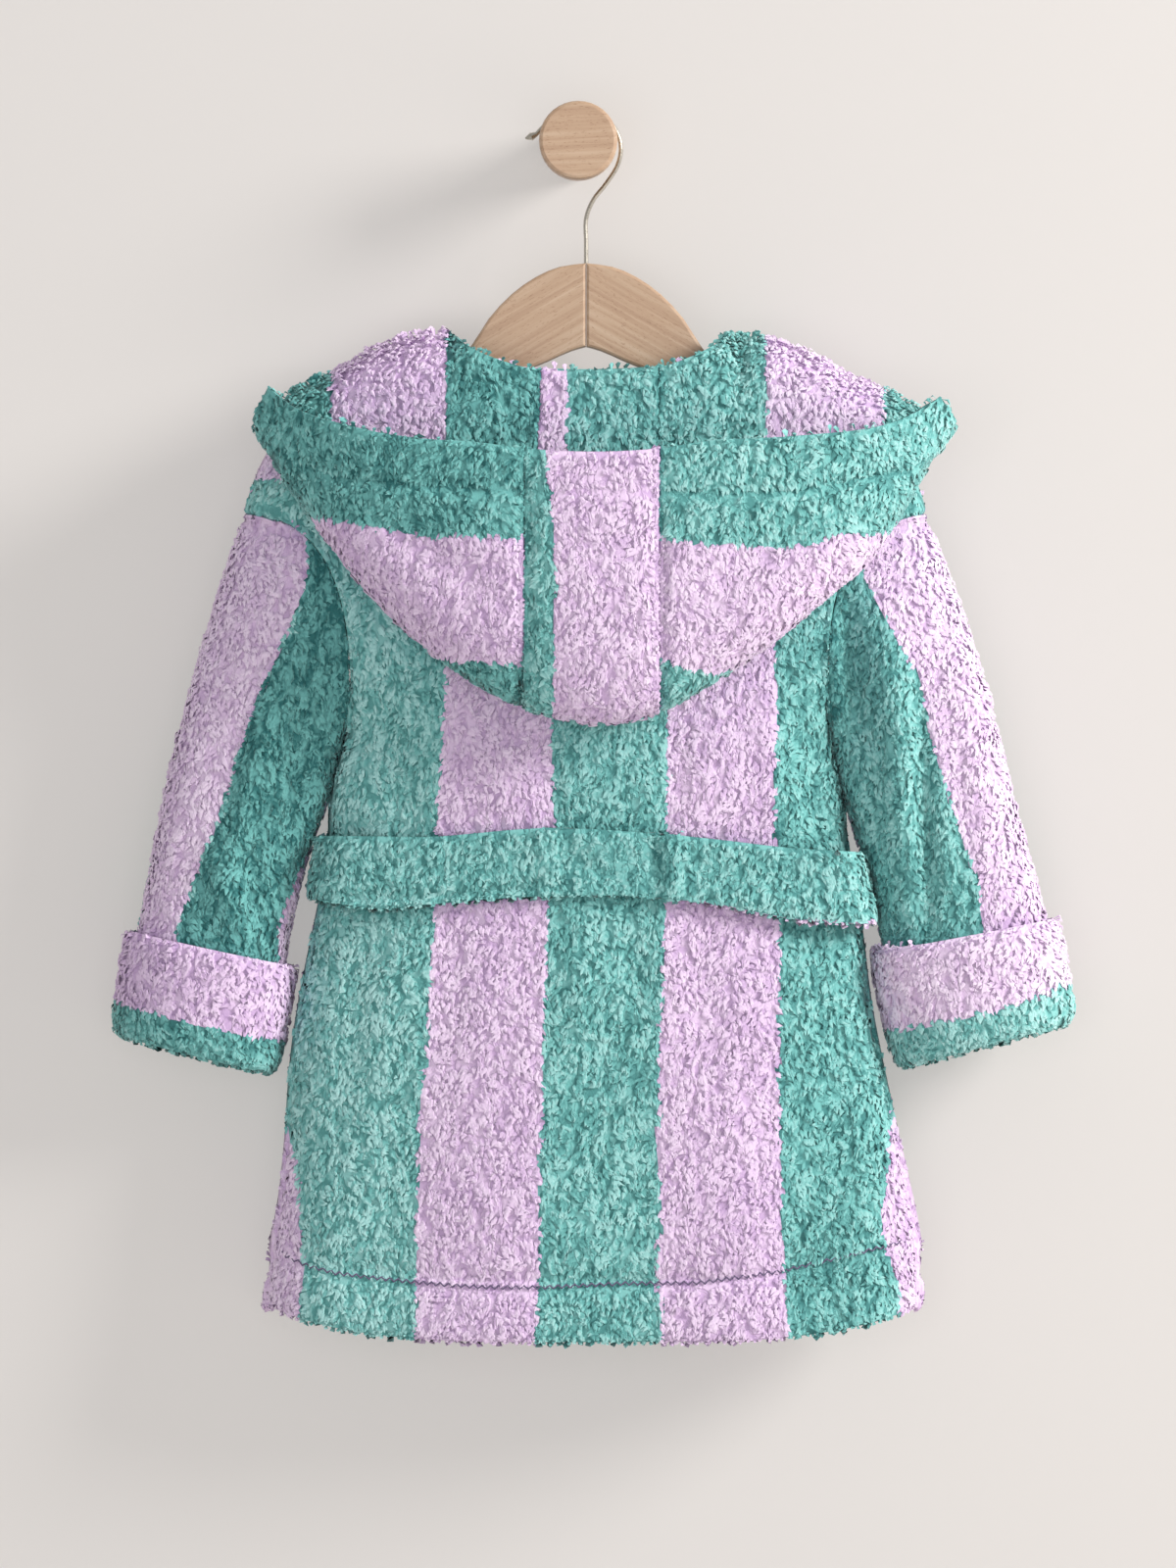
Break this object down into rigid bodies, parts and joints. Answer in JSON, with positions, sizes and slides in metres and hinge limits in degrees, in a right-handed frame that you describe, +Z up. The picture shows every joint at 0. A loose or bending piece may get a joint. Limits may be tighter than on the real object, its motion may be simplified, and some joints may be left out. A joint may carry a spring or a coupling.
{
  "type": "hooded dressing gown on a hanger and wall peg",
  "caption": "Child's hooded deep pile dressing gown with tie belt, turned-back cuffs and pockets, hung back outwards on a hanger from a round wall peg.",
  "frame": {"origin": "middle of the peg's round face on the wall", "axes": "+Z up along the gown, +Y into the wall; the gown's back faces -Y and its own left is -X"},
  "size_m": [0.5587, 0.1407, 0.7126],
  "materials": {
    "striped_fleece": "curly pile fleece in wide teal and lilac stripes",
    "teal_fleece": "plain teal curly pile fleece",
    "beech": "pale beech, satin",
    "nickel_wire": "nickel-plated steel wire"
  },
  "bodies": {
    "root": {"back": "striped_fleece", "front_left": "striped_fleece", "front_right": "striped_fleece", "sleeve_left": "striped_fleece", "sleeve_right": "striped_fleece", "cuff_left": "striped_fleece", "cuff_right": "striped_fleece", "hood_left": "striped_fleece", "hood_centre": "striped_fleece", "hood_right": "striped_fleece", "belt": "teal_fleece", "belt_knot": "teal_fleece", "belt_tail_left": "teal_fleece", "belt_tail_right": "teal_fleece", "pocket_left": "teal_fleece", "pocket_right": "teal_fleece", "hanger_left": "beech", "hanger_right": "beech", "hook": "nickel_wire", "peg_neck": "beech", "peg_head": "beech"}
  },
  "joints": []
}
